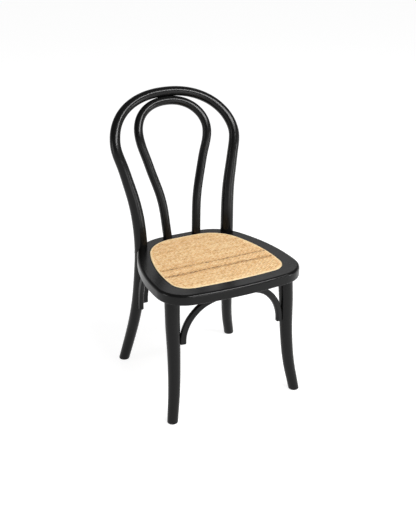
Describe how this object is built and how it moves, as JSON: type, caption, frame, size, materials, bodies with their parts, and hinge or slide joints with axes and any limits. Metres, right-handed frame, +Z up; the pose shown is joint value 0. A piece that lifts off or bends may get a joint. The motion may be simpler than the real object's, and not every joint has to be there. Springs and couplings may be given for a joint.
{
  "type": "bentwood side chair",
  "caption": "Armless bentwood side chair with a tall hoop back, a smaller hoop inside it, splayed legs, curved under-seat brackets and a round-cornered seat panelled in woven cane.",
  "frame": {"origin": "on the floor, under the middle of the chair's outline seen from above", "axes": "+Z up, front of the seat towards -Y, +X to the viewer's right from the front; X = 0 is the mirror plane"},
  "size_m": [0.4694, 0.5526, 0.8926],
  "materials": {
    "black_lacquered_beech": "satin black lacquer over steam-bent beech",
    "plywood": "bare plywood, sanded",
    "woven_rattan": "close-woven natural rattan cane, matte",
    "rattan_reed": "natural rattan reed, satin",
    "bare_beech": "bare beech, smooth",
    "blackened_steel": "black oxide",
    "zinc_plated_steel": "zinc plate, satin",
    "nylon": "moulded nylon, matte"
  },
  "bodies": {
    "root": {"back_hoop": "black_lacquered_beech", "inner_hoop": "black_lacquered_beech", "front_leg_left": "black_lacquered_beech", "front_leg_right": "black_lacquered_beech", "seat_front_rail": "black_lacquered_beech", "seat_rear_rail": "black_lacquered_beech", "seat_left_rail": "black_lacquered_beech", "seat_right_rail": "black_lacquered_beech", "bracket_front_left": "black_lacquered_beech", "bracket_front_right": "black_lacquered_beech", "bracket_side_left": "black_lacquered_beech", "bracket_side_right": "black_lacquered_beech", "bracket_rear_left": "black_lacquered_beech", "bracket_rear_right": "black_lacquered_beech", "seat_panel": "plywood", "cane_mat": "woven_rattan", "cane_border": "rattan_reed", "frame_dowels": "bare_beech", "inner_hoop_dowels": "bare_beech", "inner_hoop_screws": "blackened_steel", "bracket_leg_screws": "blackened_steel", "bracket_rail_screws": "blackened_steel", "panel_screws": "blackened_steel", "hoop_bolts": "zinc_plated_steel", "hoop_washers": "zinc_plated_steel", "hoop_nuts": "zinc_plated_steel", "glide_pins": "zinc_plated_steel", "foot_glides": "nylon"}
  },
  "joints": []
}
